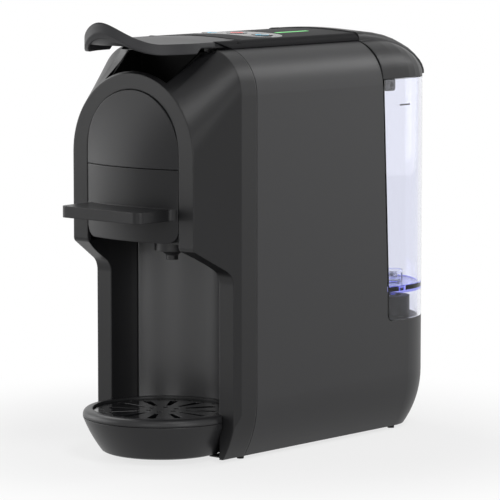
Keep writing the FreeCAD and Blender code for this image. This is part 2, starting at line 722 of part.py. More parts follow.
def button_insert():
    """Long rounded plate across the top panel that frames the three buttons."""
    low = dim.crown_height - dim.insert_sink + dim.fit_gap
    plan = new_body("insert_plan", keep=False)
    pad(plan, "XY", low, dim.crown_height + 1, insert_plan(0))
    crown = new_body("insert_crown", keep=False)
    pad(crown, "XZ", at(dim.insert_front_at) - 1, at(dim.insert_back_at) + 1,
        crown_line(low - 1))
    blank = boolean("Common", "insert_blank", plan, crown, keep=False)
    holes = new_body("insert_holes", keep=False)
    for number in range(3):
        place = ("circle", *button_place(number), dim.button_radius + dim.slide_gap)
        pad(holes, "XY", low - 1, dim.crown_height + 1, place)
    boolean("Cut", "button_insert", blank, holes)


def buttons():
    for number, name in enumerate(("button_short_cup", "button_power", "button_long_cup")):
        body = new_body(name)
        place = button_place(number)
        top = crown_at(place[0]) + dim.button_rise
        head = top - dim.button_head
        pad(body, "XY", head, top, ("circle", *place, dim.button_radius))
        pad(body, "XY", button_low, head, ("circle", *place, dim.button_stem))


def control_board():
    """Circuit board under the buttons, with one tactile switch below each stem."""
    body = new_body("control_board")
    top = button_low - dim.switch_gap - dim.switch_height
    front, rear = at(dim.board_front_at), bay_wall_y - dim.board_room
    pad(body, "XY", top - dim.board_thick, top, box(-dim.board_half, dim.board_half, front, rear))
    for number in range(3):
        pad(body, "XY", top, top + dim.switch_height,
            ("circle", *button_place(number), dim.button_stem))
    for x in (-1, 1):
        for y in (front + dim.board_post, rear - dim.board_post):
            place = (x * (dim.board_half - dim.board_post), y)
            pad(body, "XY", top, shoulder_top + dim.step_rise, ("circle", *place, dim.button_stem))


# Lever: a curled paddle with a hollow underside, hinged behind the finger well.
lever_tip = -back
curl_start = at(dim.curl_start_at)


def lever_curl(drop):
    """Point and middle of the curled tip's side curve, lowered by a drop."""
    run = curl_start - lever_tip
    middle = run * CURL_SHARE
    radius = dim.curl_radius
    tip_z = lever_top + radius - root(radius * radius - run * run) - drop
    mid_z = lever_top + radius - root(radius * radius - middle * middle) - drop
    return (curl_start - middle, mid_z), (lever_tip, tip_z)


def lever_form(label, inset, top_drop, bottom_drop):
    """Paddle volume before its plan is rounded: crowned deck and curled tip."""
    body = new_body(label, keep=False)
    edge = lever_half - inset
    low = lever_top - bottom_drop
    side_top = lever_top - top_drop
    rear_crown = side_top + dim.lever_bow
    rear = at(dim.wide_back_at) - inset

    def deck(crown):
        return [(-edge, low), (edge, low), (edge, side_top), ("via", 0, crown), (-edge, side_top)]

    loft(body, "Additive", "XZ", [(rear, deck(rear_crown)),
                                  (curl_start, deck(side_top + dim.fit_gap))])
    top_mid, top_tip = lever_curl(top_drop)
    low_mid, low_tip = lever_curl(bottom_drop)
    curl = [(curl_start + dim.fit_gap, side_top), (curl_start, side_top), ("via", *top_mid), top_tip,
            low_tip, ("via", *low_mid), (curl_start, low), (curl_start + dim.fit_gap, low)]
    pad(body, "YZ", -edge, edge, curl)
    return body


def lever_plan(label, inset):
    """Prism with the paddle's plan: a round nose that runs into two flatter flanks."""
    body = new_body(label, keep=False)
    edge = lever_half - inset
    nose, flank = dim.nose_radius, dim.flank_radius
    offset = flank - lever_half
    spread = flank - nose
    run = root(spread * spread - offset * offset)
    nose_y = lever_tip + nose
    flank_y = nose_y + run
    radius = flank - inset
    end_x, end_y = radius * offset / spread - offset, flank_y - radius * run / spread
    part_x, part_y = offset / spread, run / spread
    scale = root((1 + part_x) * (1 + part_x) + part_y * part_y)
    via_x = radius * (1 + part_x) / scale - offset
    via_y = flank_y - radius * part_y / scale
    rear = at(dim.wide_back_at) + dim.cut_over
    plan = [(-edge, rear), (-edge, flank_y), ("via", -via_x, via_y), (-end_x, end_y),
            ("via", 0, lever_tip + inset), (end_x, end_y), ("via", via_x, via_y),
            (edge, flank_y), (edge, rear)]
    pad(body, "XY", lever_top - 3 * dim.lever_rim, lever_top + dim.curl_radius, plan)
    low = lever_top - 3 * dim.lever_rim - 1
    front, level = at(dim.rim_back_at), lever_top - dim.lever_rim + dim.rim_rise
    cut(body, "YZ", -edge - 1, edge + 1, [(front, low), (front, lever_top - dim.lever_rim),
                                          (front + dim.rim_rise, level), (rear + 1, level),
                                          (rear + 1, low)])
    return body


def crank_pin_place():
    angle = math.radians(SIZES["crank_angle"])
    return (at(dim.pivot_at) - dim.crank * math.cos(angle),
            pivot_height - dim.crank * math.sin(angle))


def lever():
    outer = boolean("Common", "lever_outer", lever_form("lever_form", 0, 0, dim.lever_rim),
                    lever_plan("lever_plan", 0), keep=False)
    deep = dim.lever_rim + dim.cut_over
    hollow = boolean("Common", "lever_hollow",
                     lever_form("lever_hollow_form", dim.lever_wall, dim.lever_skin, deep),
                     lever_plan("lever_hollow_plan", dim.lever_wall), keep=False)
    paddle = boolean("Cut", "lever_paddle", outer, hollow, keep=False)
    hinge = new_body("lever_hinge", keep=False)
    pivot = at(dim.pivot_at)
    edge = hinge_half
    low = lever_top - dim.hinge_thick
    tongue = [(-edge, low), (edge, low), (edge, lever_top), ("via", 0, lever_top + dim.hinge_bow),
              (-edge, lever_top)]
    pad(hinge, "XZ", at(dim.wide_back_at) - dim.lever_wall, pivot + dim.hinge_tail, tongue)
    pad(hinge, "YZ", -edge, edge, ("circle", pivot, pivot_height, dim.barrel_radius))
    pin_y, pin_z = crank_pin_place()
    boss = dim.crank_boss
    lug = [(pin_y - boss, low + 1), (pivot, low + 1),
           (pivot, pivot_height - boss), (pin_y + boss, pin_z - boss, boss - 1),
           (pin_y - boss, pin_z - boss, boss - 1)]
    for side in (-1, 1):
        low, high = sorted((side * dim.lug_in, side * dim.lug_out), key=value)
        pad(hinge, "YZ", low, high, lug)
        low, high = sorted((side * dim.lug_in, side * dim.link_out), key=value)
        pad(hinge, "YZ", low, high, ("circle", pin_y, pin_z, dim.crank_pin))
    bore = ("circle", pivot, pivot_height, dim.shaft_radius + dim.fit_gap)
    cut(hinge, "YZ", -edge - 1, edge + 1, bore)
    boolean("Fuse", "lever", paddle, hinge)
    shaft = new_body("lever_shaft")
    pad(shaft, "YZ", -shaft_half, shaft_half,
        ("circle", pivot, pivot_height, dim.shaft_radius))


def links():
    """Two links that carry the lever's crank motion down to the piston yoke."""
    pin_y, pin_z = crank_pin_place()
    low_z = dim.yoke_pin_height
    wide = dim.link_width / 2
    for name, side in (("link_left", -1), ("link_right", 1)):
        body = new_body(name)
        low, high = sorted((side * (dim.lug_out + dim.slide_gap), side * dim.link_out), key=value)
        plate = rounded_box(pin_y - wide, pin_y + wide, low_z - wide, pin_z + wide,
                            wide - dim.fit_gap)
        pad(body, "YZ", low, high, plate)
        cut(body, "YZ", low - 1, high + 1,
            ("circle", pin_y, pin_z, dim.crank_pin + dim.fit_gap))
        reach = dim.crank_pin + dim.slot_reach
        rise = dim.crank_pin + dim.slot_rise
        slot = rounded_box(pin_y - reach, pin_y + reach, low_z - rise, low_z + rise, rise - 0.5)
        cut(body, "YZ", low - 1, high + 1, slot)


# Brew group: a frame, a piston that presses the adapter, and the piston's yoke.
brew_y = at(dim.brew_at)
yoke_rear = brew_y + dim.piston_radius


def brew_frame():
    body = new_body("brew_frame")
    outer, inner = dim.frame_half, dim.frame_half - dim.frame_wall
    front, rear = at(dim.frame_front_at), at(dim.frame_back_at)
    pad(body, "XZ", front, rear, box(-outer, outer, dim.frame_floor, dim.bridge_top),
        box(-inner, inner, dim.frame_floor_top, dim.bridge_level))
    collar = dim.piston_radius + dim.frame_wall
    pad(body, "XY", dim.bridge_top - 1, dim.bridge_top + dim.frame_wall,
        ("circle", 0, brew_y, collar))
    cut(body, "XY", dim.bridge_level - 1, dim.bridge_top + dim.frame_wall + 1,
        ("circle", 0, brew_y, dim.piston_radius + dim.slide_gap))
    cut(body, "XY", dim.frame_floor - 1, dim.frame_floor_top + 1,
        ("circle", 0, brew_y, dim.spout_neck + dim.slide_gap))
    return body


def brew_piston():
    """Piston with its yoke; the yoke's ears carry the pins that the links pull."""
    body = new_body("brew_piston")
    seat, bottom = dim.seal_radius + 1, dim.piston_bottom
    turned(body, "Revolution", 0 * half, brew_y,
           [[(0, bottom + dim.piston_seat), (seat, bottom + dim.piston_seat), (seat, bottom),
             (dim.piston_radius, bottom), (dim.piston_radius, dim.piston_top),
             (0, dim.piston_top)]])
    yoke = new_body("piston_yoke")
    pin_y, pin_z = crank_pin_place()
    wide = dim.link_width / 2
    edge = dim.yoke_half
    neck, bar, rear = dim.yoke_neck, pin_y - wide, pin_y + wide
    pad(yoke, "XY", dim.piston_top, dim.yoke_top,
        [(-neck, at(dim.yoke_front_at)), (neck, at(dim.yoke_front_at)), (neck, bar), (edge, bar),
         (edge, rear), (neck, rear), (neck, yoke_rear), (-neck, yoke_rear), (-neck, rear),
         (-edge, rear), (-edge, bar), (-neck, bar)])
    for side in (-1, 1):
        low, high = sorted((side * (edge - dim.yoke_ear), side * edge), key=value)
        pad(yoke, "YZ", low, high,
            box(pin_y - wide, pin_y + wide, dim.yoke_top, dim.yoke_pin_height + wide))
        low, high = sorted((side * (dim.lug_out + dim.slide_gap), side * edge), key=value)
        pad(yoke, "YZ", low, high,
            ("circle", pin_y - dim.slot_shift, dim.yoke_pin_height, dim.crank_pin))
    cut(yoke, "XY", dim.piston_top - 1, dim.yoke_top + 1,
        ("circle", 0, brew_y, dim.pipe_radius + dim.fit_gap))
    seal = new_body("piston_seal")
    low = dim.piston_bottom + dim.piston_seat - dim.seal_height
    pad(seal, "XY", low, low + dim.seal_height, ("circle", 0, brew_y, dim.seal_radius),
        ("circle", 0, brew_y, dim.pipe_radius))


def capsule_drawer():
    """Bowed drawer front with its pull shelf, and the frame that carries the adapter."""
    body = new_body("capsule_drawer")
    rear = face + dim.drawer_front_wall
    top = dim.panel_split
    pad(body, "XY", dim.drawer_bottom, top, bulged(dim.drawer_half, dim.panel_bulge, rear))
    reach = face - dim.pull_reach
    edge = dim.pull_half
    rest, bend = face + dim.slide_gap, dim.drawer_half - edge - dim.fit_gap
    share = bend * CORNER_SHARE
    root_y = face - dim.slide_gap
    pull = [(-edge - bend, rest), (-edge - bend, root_y),
            ("via", -edge - share, root_y - share), (-edge, root_y - bend),
            (-edge, reach, dim.pull_corner), (edge, reach, dim.pull_corner), (edge, root_y - bend),
            ("via", edge + share, root_y - share), (edge + bend, root_y),
            (edge + bend, rest)]
    pad(body, "XY", dim.pull_low, dim.pull_top, pull)
    wide, over = dim.drawer_half + 1, dim.cut_over
    low, corner = dim.drawer_bottom, dim.drawer_corner
    inner, share = dim.drawer_half - corner, corner * CORNER_SHARE
    rounder = [(-wide, low - over), (wide, low - over), (wide, low + corner),
               (dim.drawer_half, low + corner), ("via", dim.drawer_half - share, low + share),
               (inner, low), (-inner, low), ("via", share - dim.drawer_half, low + share),
               (-dim.drawer_half, low + corner), (-wide, low + corner)]
    cut(body, "XZ", face - dim.panel_bulge - over, rear + over, rounder)
    edge = dim.drawer_frame_half
    pad(body, "XY", dim.drawer_deck, dim.drawer_deck_top,
        box(-edge, edge, rear - 1, at(dim.drawer_back_at)))
    for side in (-1, 1):
        x0, x1 = side * (edge - dim.drawer_skirt_wall), side * edge
        pad(body, "XY", dim.drawer_skirt, dim.drawer_deck_top,
            box(x0, x1, rear - 1, at(dim.drawer_back_at)))
    cut(body, "XY", dim.drawer_deck - 1, dim.drawer_deck_top + 1,
        ("circle", 0, brew_y, dim.adapter_radius + dim.slide_gap))
    return body


def capsule_adapter():
    """Removable cup that holds the capsule, hung by its lip in the drawer's deck."""
    body = new_body("capsule_adapter")
    lip_low = dim.drawer_deck_top
    cup = [(dim.adapter_hole, dim.adapter_bottom), (dim.adapter_foot, dim.adapter_bottom),
           (dim.adapter_radius, lip_low), (dim.adapter_lip, lip_low),
           (dim.adapter_lip, dim.adapter_top), (dim.adapter_cup, dim.adapter_top),
           (dim.adapter_cup_low, dim.adapter_floor), (dim.adapter_hole, dim.adapter_floor)]
    turned(body, "Revolution", 0 * half, brew_y, [cup])
    plate = new_body("piercing_plate")
    low = dim.adapter_floor
    top = low + dim.pin_plate
    pad(plate, "XY", low, top, ("circle", 0, brew_y, dim.pin_plate_radius),
        ("circle", 0, brew_y, dim.adapter_hole))
    pin = pad(plate, "XY", top, top + dim.pin_height,
              ("circle", dim.pin_spread, 0 * half, dim.pin_radius))
    sketch = pin.Profile[0]
    sketch.AttachmentOffset.Base.y = value(brew_y)
    bind(sketch, ".AttachmentOffset.Base.y", brew_y)
    doc.recompute()
    ring_of(plate, pin, 3)


def outlet_spout():
    """Funnel in the brew frame's floor, with a plate and a nozzle under the bay ceiling."""
    body = new_body("outlet_spout")
    hang = dim.ceiling_level - dim.fit_gap
    funnel = dim.spout_neck - dim.spout_wall
    top = dim.frame_floor_top + dim.spout_wall
    profile = [(dim.spout_bore, dim.spout_bottom), (dim.spout_radius, dim.spout_bottom),
               (dim.spout_radius, dim.spout_throat), (dim.spout_cone, dim.spout_plate_low),
               (dim.spout_plate, dim.spout_plate_low), (dim.spout_plate, hang),
               (dim.spout_neck, hang), (dim.spout_neck, top), (funnel, top),
               (funnel, hang), (dim.spout_bore, dim.spout_throat)]
    turned(body, "Revolution", 0 * half, brew_y, [profile])
    return body


def bay_ceiling():
    body = new_body("bay_ceiling")
    top = dim.ceiling_level + dim.ceiling_plate
    axis = at(dim.cup_axis_at)
    pad(body, "XY", dim.ceiling_level, top, ("circle", 0, axis, dim.recess_radius - dim.slide_gap),
        ("circle", 0, brew_y, dim.spout_neck + dim.slide_gap))
    wide = dim.recess_radius + dim.cut_over
    cut(body, "XY", dim.ceiling_level - 1, top + 1,
        box(-wide, wide, axis - wide, at(dim.ceiling_front_at)))
    return body


def cup_bay_liner():
    """Curved back wall of the cup bay, between the two legs."""
    body = new_body("cup_bay_liner")
    axis = at(dim.cup_axis_at)
    start = at(dim.front_depth) + dim.seam_gap
    inner = dim.recess_radius
    outer = inner + dim.liner_wall
    reach = start - axis
    inner_x = root(inner * inner - reach * reach)
    outer_x = root(outer * outer - reach * reach)
    curve = [(-inner_x, start), ("via", 0, axis + inner), (inner_x, start),
             (outer_x, start), ("via", 0, axis + outer), (-outer_x, start)]
    pad(body, "XY", dim.foot_height + dim.base_plate, dim.ceiling_level + dim.ceiling_plate, curve)
    return body


# Drip tray: a bowl-shaped tub, a rim ring on it and a grille in the rim.
tray_y = at(dim.cup_axis_at)


def trim_tray_back(body, low, top):
    """Step the rear part in, so that it slides in between the legs."""
    wide = dim.tray_radius + dim.cut_over
    for split, narrow in ((at(dim.tray_step_at), dim.tray_step_radius),
                          (at(dim.tray_split_at), dim.tray_back_radius)):
        reach = split - tray_y
        edge = root(narrow * narrow - reach * reach)
        behind = [(wide, split), (wide, tray_y + wide), (-wide, tray_y + wide), (-wide, split),
                  (-edge, split), ("via", 0, tray_y + narrow), (edge, split)]
        cut(body, "XY", low, top, behind)


def drip_tray():
    body = new_body("drip_tray")
    low, top = dim.tray_bottom, dim.tray_seam
    radius, foot, heel = dim.tray_radius, dim.tray_foot, dim.tray_heel
    middle = (foot + heel) / 2
    turned(body, "Revolution", 0 * half, tray_y,
           [[(0, low), (foot, low), ("via", middle, low + dim.tray_heel_rise * CORNER_SHARE),
             (heel, low + dim.tray_heel_rise), ("via", dim.tray_flank, low + dim.tray_flank_rise),
             (radius, top), (0, top)]])
    trim_tray_back(body, low - 1, top + 1)
    pan, floor = dim.tray_pan, dim.tray_pan_floor
    turned(body, "Groove", 0 * half, tray_y,
           [[(0, floor), (dim.tray_pan_foot, floor), (pan, floor + dim.tray_pan_rise),
             (pan, top + 1), (0, top + 1)]])
    ring = new_body("tray_ring")
    high, groove = dim.tray_top, radius - dim.tray_seam_depth
    turned(ring, "Revolution", 0 * half, tray_y,
           [[(pan, top), (groove, top), (groove, top + dim.seam_gap), (radius, top + dim.seam_gap),
             (radius, high, dim.ring_round), (dim.grille_seat, high),
             (dim.grille_seat, dim.grille_low), (pan, dim.grille_low)]])
    trim_tray_back(ring, top - 1, high + 1)


def drip_grille():
    """Grille with a fan of tapered slots between two rings of round holes."""
    body = new_body("drip_grille")
    low, high = dim.grille_low, dim.grille_top
    disc = pad(body, "XY", low, high, ("circle", 0, 0, dim.grille_radius))
    disc.Profile[0].AttachmentOffset.Base.y = value(tray_y)
    bind(disc.Profile[0], ".AttachmentOffset.Base.y", tray_y)
    doc.recompute()
    slot = [(-dim.slot_narrow / 2, dim.slot_in), (dim.slot_narrow / 2, dim.slot_in),
            (dim.slot_wide / 2, dim.slot_out), ("via", 0, dim.slot_out + dim.slot_narrow / 2),
            (-dim.slot_wide / 2, dim.slot_out)]
    for opening, count in ((slot, dim.slot_count),
                           (("circle", dim.hole_ring, 0, dim.hole_radius), dim.hole_count),
                           (("circle", dim.rim_hole_ring, 0, dim.rim_hole_radius),
                            dim.rim_hole_count)):
        sketch = sketch_on(body, "XY", high, [opening])
        sketch.AttachmentOffset.Base.y = value(tray_y)
        bind(sketch, ".AttachmentOffset.Base.y", tray_y)
        pocket = body.newObject("PartDesign::Pocket", "drip_grille_pocket")
        pocket.Profile = sketch
        pocket.Length = value(high - low) + 1
        bind(pocket, "Length", high - low + 1)
        doc.recompute()
        ring_of(body, pocket, count)


# Tank bay, tank and lid behind the housing.
def rear_plan(front, inset):
    """Plan of what follows the body's outline at the rear, from a given front line."""
    edge = half - inset
    corner_y = back - dim.corner_radius
    radius = dim.corner_radius - inset
    x = half - dim.corner_radius
    reach = radius * (1 - CORNER_SHARE)
    via_x, via_y = x + reach, corner_y + reach
    return [(-edge, front), (edge, front), (edge, corner_y), ("via", via_x, via_y),
            (x, back - inset), (-x, back - inset), ("via", -via_x, via_y), (-edge, corner_y)]


def tank_bay():
    """Wall and shelf that close the housing towards the tank."""
    body = new_body("tank_bay")
    inset = dim.wall + dim.slide_gap
    start = bay_wall_y
    low, top = dim.bay_level - dim.bay_plate, dim.bay_level
    pad(body, "XY", low, top, rear_plan(start, inset))
    edge = half - inset
    inner_top = dim.crown_height - dim.bay_wall_drop
    wall = [(-edge, low), (edge, low), (edge, shoulder_height - dim.wall),
            (step_half - dim.wall, inner_top), (dim.wall - step_half, inner_top),
            (-edge, shoulder_height - dim.wall)]
    pad(body, "XZ", start, start + dim.bay_plate, wall)
    place = tank_valve_place
    cut(body, "XY", low - 1, top + 1, ("circle", *place, dim.spigot_radius + dim.fit_gap))
    dock = new_body("tank_dock")
    pad(dock, "XY", top, dim.dock_top, ("circle", *place, dim.dock_radius))
    cut(dock, "XY", top - 1, dim.dock_top + 1, ("circle", *place, dim.dock_bore))
    pad(dock, "XY", low - dim.spigot_drop, top, ("circle", *place, dim.spigot_radius),
        ("circle", *place, dim.pipe_radius + dim.fit_gap))
    return body


def water_tank():
    """Clear tank with a raised floor and an open skirt that stands over the dock."""
    body = new_body("water_tank")
    low, top = dim.bay_level + dim.slide_gap, tank_top
    front_low = bay_low_y + dim.tank_front
    front_top = bay_top_y + dim.tank_front
    loft(body, "Additive", "XY", [(low, rear_plan(front_low, 0)), (top, rear_plan(front_top, 0))])
    wall = dim.tank_wall
    loft(body, "Subtractive", "XY", [(dim.tank_floor_top, rear_plan(front_low + wall, wall)),
                                     (top, rear_plan(front_top + wall, wall))])
    cut(body, "XY", low - 1, dim.tank_floor, rear_plan(front_low + wall, wall))
    corner, over = dim.bay_corner, dim.cut_over
    share = corner * CORNER_SHARE
    cut(body, "YZ", -half - over, half + over,
        [(front_low - over, low - over), (front_low + corner, low - over),
         (front_low + corner, low), ("via", front_low + share, low + share),
         (front_low, low + corner), (front_low - over, low + corner)])
    place = tank_valve_place
    cut(body, "XY", dim.tank_floor - 1, dim.tank_floor_top + 1, ("circle", *place, dim.valve_radius))
    return body


def tank_valve():
    """Spring-loaded plunger in the tank's floor, with its seal and spring."""
    place = tank_valve_place
    seal_low = dim.tank_floor_top
    seal_top = seal_low + dim.seal_height
    seal = new_body("valve_seal")
    pad(seal, "XY", seal_low, seal_top, ("circle", *place, dim.valve_head),
        ("circle", *place, dim.valve_radius))
    plunger = new_body("valve_plunger")
    pad(plunger, "XY", seal_top, dim.valve_top, ("circle", *place, dim.valve_head))
    pad(plunger, "XY", dim.dock_top + dim.slide_gap, seal_top, ("circle", *place, dim.valve_stem))
    cage = new_body("valve_cage")
    outer = dim.valve_head + dim.slide_gap + dim.cage_wall
    cage_top = dim.valve_top + dim.spring_height
    pad(cage, "XY", seal_low, cage_top + dim.cage_wall, ("circle", *place, outer))
    cut(cage, "XY", seal_low - 1, cage_top, ("circle", *place, outer - dim.cage_wall))
    window = 2 * dim.valve_stem
    cut(cage, "XY", seal_low + dim.cage_wall, cage_top - dim.cage_wall,
        box(place[0] - outer - 1, place[0] + outer + 1, place[1] - window, place[1] + window))
    spring = new_body("valve_spring")
    radius = dim.valve_head - dim.valve_stem
    pad(spring, "XY", dim.valve_top, cage_top, ("circle", *place, radius),
        ("circle", *place, radius - dim.spring_wire))


# Lid sections: places in front of the rear, the strip's drops there, and shares of height.
LID_PLACES = (49, 38, 31, 24, 18, 13, 9, 6, 4.7)
STRIP_LINE = ((59, 0), (47, 1.4), (36, 3.5), (27, 6.2), (19, 9.5), (12, 12.8), (6.5, 16.5),
              (2.5, 20.2), (0, 23.5), (-1.5, 26.8), (-2.1, 28.6))
STRIP_SHARES = (0.81, 0.905, 0.95)
LID_BULGE = 0.74


def lid_form(label, inset, low):
    """Lid volume: a crowned strip between two shoulders, all rounded down to the rear."""
    front = bay_top_y + dim.seam_gap / 2 + inset
    step = step_half - inset

    def shoulder(edge, top):
        via_x = step + (edge - step) * LID_BULGE
        via_z = low + (top - low) * SHOULDER_SHARE
        return [(-edge, low), (edge, low), ("via", via_x, via_z), (step, top), (-step, top),
                ("via", -via_x, via_z)]

    sections = [(front, shoulder(half - inset, shoulder_top - inset))]
    for reach in LID_PLACES:
        run = dim.lid_bend_in - reach
        bend = dim.lid_bend_radius
        drop = bend - root(bend * bend - run * run)
        turn = max(dim.corner_radius - reach, 0 * half, key=value)
        corner = dim.corner_radius
        edge = half - corner + root(corner * corner - turn * turn)
        sections.append((back - reach - inset, shoulder(edge - inset, shoulder_top - drop - inset)))
    shoulders = new_body(label + "_shoulders", keep=False)
    loft(shoulders, "Additive", "XZ", sections)

    def strip(top):
        rise = top - low
        side, bulge, inner = (low + rise * share for share in STRIP_SHARES)
        bulge_x, inner_x = step - dim.step_bulge, crown_half - inset
        return [(-step, low), (step, low), (step, side), ("via", bulge_x, bulge), (inner_x, inner),
                ("via", 0, top), (-inner_x, inner), ("via", -bulge_x, bulge), (-step, side)]

    top = dim.crown_height + dim.lid_rise - inset
    sections = [(front, strip(top))]
    sections += [(back - reach - inset, strip(top - drop)) for reach, drop in STRIP_LINE]
    ridge = new_body(label + "_strip", keep=False)
    loft(ridge, "Additive", "XZ", sections)
    return boolean("Fuse", label + "_form", shoulders, ridge, keep=False)


def tank_lid():
    outer = lid_form("lid_outer", 0 * half, lid_low)
    inner = lid_form("lid_inner", dim.lid_wall, lid_low - 1)
    boolean("Cut", "tank_lid", outer, inner)
    front = back - dim.catch_front_in
    rear = front + dim.catch_depth
    catch_low, top = tank_top - dim.catch_drop, lid_low + dim.lid_wall
    outer_x = half - dim.catch_inset
    for name, side in (("lid_catch_left", -1), ("lid_catch_right", 1)):
        catch = new_body(name)
        low, high = sorted((side * (outer_x - dim.catch_width), side * outer_x), key=value)
        pad(catch, "YZ", low, high,
            [(front, catch_low, 2), (rear, catch_low, 2), (rear, top), (front, top)])
        cut(catch, "YZ", low - 1, high + 1,
            ("circle", rear - dim.catch_eye, catch_low + dim.catch_eye, dim.catch_hole))


# Works inside the housing: the heater stands between the pump's line and the bay wall.
heater_y = (at(dim.line_at) + bay_wall_y) / 2
heater_radius = (bay_wall_y - at(dim.line_at)) / 2 - dim.heater_gap - dim.heater_fin
chassis_half = base_half - dim.chassis_gap


def screw_places():
    """Screws per side that join the chassis flanges to the base plate."""
    spread = dim.chassis_depth / 2
    x = chassis_half - dim.chassis_flange / 2
    return {side: [(side * x, heater_y - spread), (side * x, heater_y + spread)]
            for side in (-1, 1)}


def base_screws():
    """Screws from below into the chassis flanges, kept together as one group."""
    shapes = []
    low = dim.foot_height
    for side in (-1, 1):
        for number, (x, y) in enumerate(screw_places()[side]):
            name = "screw_%s_%d" % ("left" if side < 0 else "right", number + 1)
            body = new_body(name, keep=False)
            pad(body, "XY", low, low + dim.screw_head, ("circle", x, y, dim.screw_radius))
            pad(body, "XY", low + dim.screw_head, low + dim.base_plate + dim.wall + dim.screw_head,
                ("circle", x, y, dim.screw_stem))
            shapes.append(body)
    group = doc.addObject("Part::Compound", "base_screws")
    group.Links = shapes
    group.Label = "base_screws"
    doc.recompute()
    PIECES.append(group)


def pump():
    """Vibration pump: a coil block round a steel tube with a brass head, in rubber mounts."""
    middle = at(dim.pump_at)
    coil = dim.pump_coil / 2
    height = dim.pump_height
    coil_body = new_body("pump_coil")
    pad(coil_body, "XZ", middle - coil, middle + coil,
        rounded_box(-coil, coil, height - coil, height + coil, 3),
        ("circle", 0, height, dim.pump_radius + dim.fit_gap))
    tube = new_body("pump_tube")
    pad(tube, "XZ", middle - coil - dim.pump_neck, middle + coil + dim.pump_tail,
        ("circle", 0, height, dim.pump_radius))
    mount = dim.mount_size
    for name, centre in (("pump_mount_front", middle - coil - dim.pump_neck / 2),
                         ("pump_mount_rear", middle + coil + dim.pump_tail / 2)):
        body = new_body(name)
        thick = dim.mount_thick / 2
        pad(body, "XZ", centre - thick, centre + thick,
            box(-mount / 2, mount / 2, dim.foot_height + dim.base_plate, height + mount / 2),
            ("circle", 0, height, dim.pump_radius + dim.fit_gap))


def heater():
    """Finned heater block on a bent chassis, with two posts for its tubes and a thermostat."""
    middle, radius = heater_y, heater_radius
    low, top = dim.heater_low, dim.heater_top
    body = new_body("heater_block")
    pad(body, "XY", low, top, ("circle", 0, middle, radius))
    for level in (low, (low + top - dim.heater_fin) / 2, top - dim.heater_fin):
        pad(body, "XY", level, level + dim.heater_fin, ("circle", 0, middle, radius + dim.heater_fin))
    for side in (-1, 1):
        pad(body, "XY", top, top + dim.heater_post,
            ("circle", 0, middle + side * radius / 2, dim.pipe_radius + dim.wall))
    chassis = new_body("inner_chassis")
    floor = dim.foot_height + dim.base_plate
    reach = chassis_half
    front, rear = middle - dim.chassis_depth, middle + dim.chassis_depth
    inner = reach - dim.wall
    pad(chassis, "XZ", front, rear,
        [(-reach, floor), (-inner, floor), (-inner, low - dim.wall), (inner, low - dim.wall),
         (inner, floor), (reach, floor), (reach, low), (-reach, low)])
    for side in (-1, 1):
        x0, x1 = side * (reach - dim.chassis_flange), side * reach
        pad(chassis, "XY", floor, floor + dim.wall, box(x0, x1, front, rear))
        for place in screw_places()[side]:
            cut(chassis, "XY", floor - 1, floor + dim.wall + 1,
                ("circle", *place, dim.screw_stem + dim.fit_gap))
    stat = new_body("thermostat")
    pad(stat, "XY", top, top + dim.thermostat_height,
        ("circle", radius / 2, middle, dim.thermostat_radius))


def flow_meter():
    body = new_body("flow_meter")
    place = (dim.meter_x, at(dim.meter_at))
    base = dim.foot_height + dim.base_plate
    pad(body, "XY", dim.meter_low, dim.meter_top, ("circle", *place, dim.meter_radius))
    pad(body, "XY", base, dim.meter_low, ("circle", *place, dim.meter_radius / 2))


def pipe(name, points, bend):
    """Tube of straight runs joined by equal bends, through given corner points."""
    radius, bend = value(dim.pipe_radius), value(bend)
    places = [Vector(*[value(n) for n in point]) for point in points]
    runs = []
    start = places[0]
    for before, corner, after in zip(places, places[1:], places[2:]):
        into, out = (corner - before).normalize(), (after - corner).normalize()
        angle = into.getAngle(out)
        run = bend * math.tan(angle / 2)
        first = corner - into * run
        centre = corner + (out - into).normalize() * (bend / math.cos(angle / 2))
        runs.append(Part.makeCylinder(radius, (first - start).Length, start, into))
        ring = Part.Face(Part.Wire([Part.makeCircle(radius, first, into)]))
        runs.append(ring.revolve(centre, into.cross(out), math.degrees(angle)))
        start = corner + out * run
    end = places[-1]
    runs.append(Part.makeCylinder(radius, (end - start).Length, start, end - start))
    feature = doc.addObject("Part::Feature", name)
    feature.Shape = runs[0].fuse(runs[1:])
    feature.Label = name
    PIECES.append(feature)
    return feature


